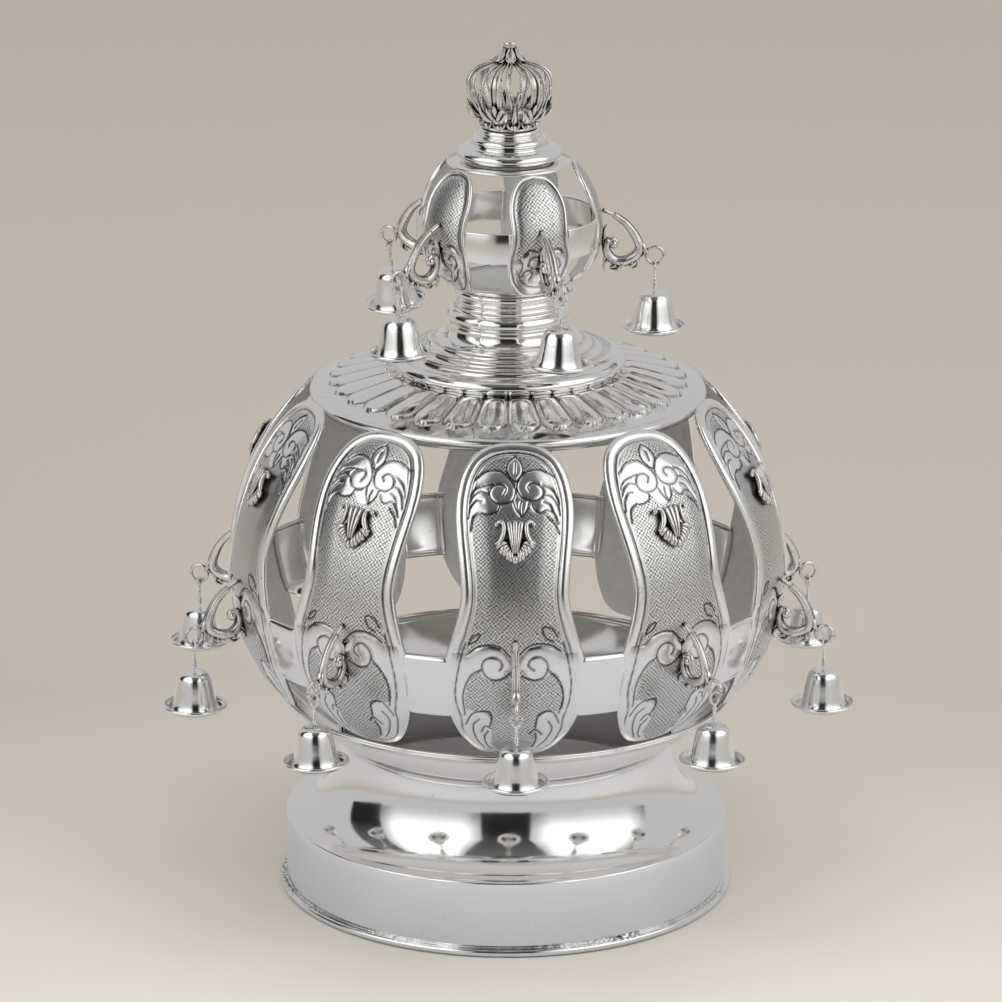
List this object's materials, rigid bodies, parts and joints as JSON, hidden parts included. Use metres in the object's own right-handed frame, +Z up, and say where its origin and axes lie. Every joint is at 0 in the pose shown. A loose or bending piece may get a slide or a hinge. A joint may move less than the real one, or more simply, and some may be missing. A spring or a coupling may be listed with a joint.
{
  "type": "torah crown",
  "caption": "Openwork silver crown for a scroll: pierced globe on a spun base, smaller globe and cast crown above, with hanging bells on scroll brackets.",
  "frame": {"origin": "middle of the flat ring the crown stands on, at the surface it stands on", "axes": "+Z up along the crown's axis, -Y towards the front panel, +X to the right seen from the front"},
  "size_m": [0.2798, 0.2916, 0.35],
  "materials": {
    "polished_silver": "polished silver",
    "chased_silver": "chased silver with darkened lines",
    "cast_silver": "cast silver, darkened in the hollows"
  },
  "bodies": {
    "root": {"base": "polished_silver", "crown_globe": "chased_silver", "collar": "polished_silver", "upper_globe": "chased_silver", "cap": "polished_silver", "finial": "cast_silver", "shell_ornament_01": "cast_silver", "shell_ornament_02": "cast_silver", "shell_ornament_03": "cast_silver", "shell_ornament_04": "cast_silver", "shell_ornament_05": "cast_silver", "shell_ornament_06": "cast_silver", "shell_ornament_07": "cast_silver", "shell_ornament_08": "cast_silver", "shell_ornament_09": "cast_silver", "shell_ornament_10": "cast_silver", "bracket_01": "cast_silver", "bracket_02": "cast_silver", "bracket_03": "cast_silver", "bracket_04": "cast_silver", "bracket_05": "cast_silver", "bracket_06": "cast_silver", "bracket_07": "cast_silver", "bracket_08": "cast_silver", "bracket_09": "cast_silver", "bracket_10": "cast_silver", "bell_01": "polished_silver", "bell_02": "polished_silver", "bell_03": "polished_silver", "bell_04": "polished_silver", "bell_05": "polished_silver", "bell_06": "polished_silver", "bell_07": "polished_silver", "bell_08": "polished_silver", "bell_09": "polished_silver", "bell_10": "polished_silver", "upper_bracket_1": "cast_silver", "upper_bracket_2": "cast_silver", "upper_bracket_3": "cast_silver", "upper_bracket_4": "cast_silver", "upper_bracket_5": "cast_silver", "upper_bell_1": "polished_silver", "upper_bell_2": "polished_silver", "upper_bell_3": "polished_silver", "upper_bell_4": "polished_silver", "upper_bell_5": "polished_silver"}
  },
  "joints": []
}
